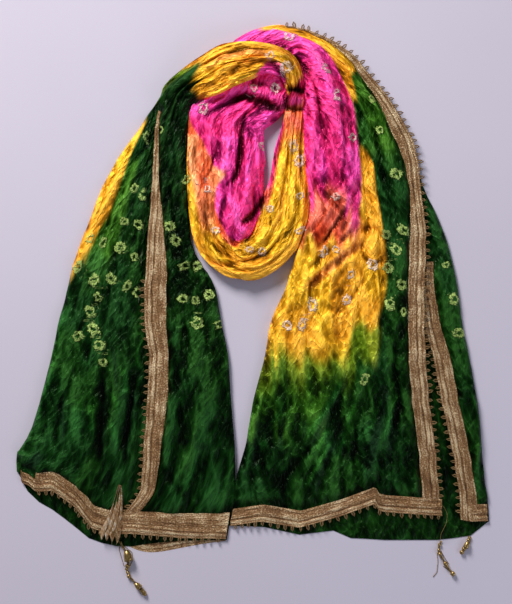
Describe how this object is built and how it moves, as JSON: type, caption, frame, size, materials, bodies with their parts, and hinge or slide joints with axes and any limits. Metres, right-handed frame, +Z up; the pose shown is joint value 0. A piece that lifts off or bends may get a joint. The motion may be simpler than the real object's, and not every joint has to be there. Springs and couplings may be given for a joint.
{
  "type": "laid tie-dyed silk stole",
  "caption": "Crinkled tie-dyed silk stole with gold ribbon border and bead tassels, laid flat in a loop with its ends folded and fanned out below.",
  "frame": {"origin": "middle of the laid stole's outline, at the surface that it lies on", "axes": "+Z up from the surface, +Y from the two ends towards the loop, +X to the right as seen from above with the loop at the top"},
  "size_m": [0.7096, 0.861, 0.0353],
  "materials": {
    "silk": "crinkled silk, tie-dyed green, yellow, orange and magenta",
    "gota": "ribbed ribbon woven of metallic yarn, antique gold",
    "bead": "small polished gold beads and knotted gold yarn"
  },
  "bodies": {
    "root": {"stole_cloth": "silk", "gota_left_front": "gota", "gota_left_gather": "gota", "gota_left_hem_left": "gota", "gota_left_hem_right": "gota", "gota_left_under_hem": "gota", "gota_right_corner": "gota", "gota_right_hem": "gota", "gota_right_long": "gota", "gota_right_short": "gota", "tassel_left": "bead", "tassel_right_inner": "bead", "tassel_right_outer": "bead"}
  },
  "joints": []
}
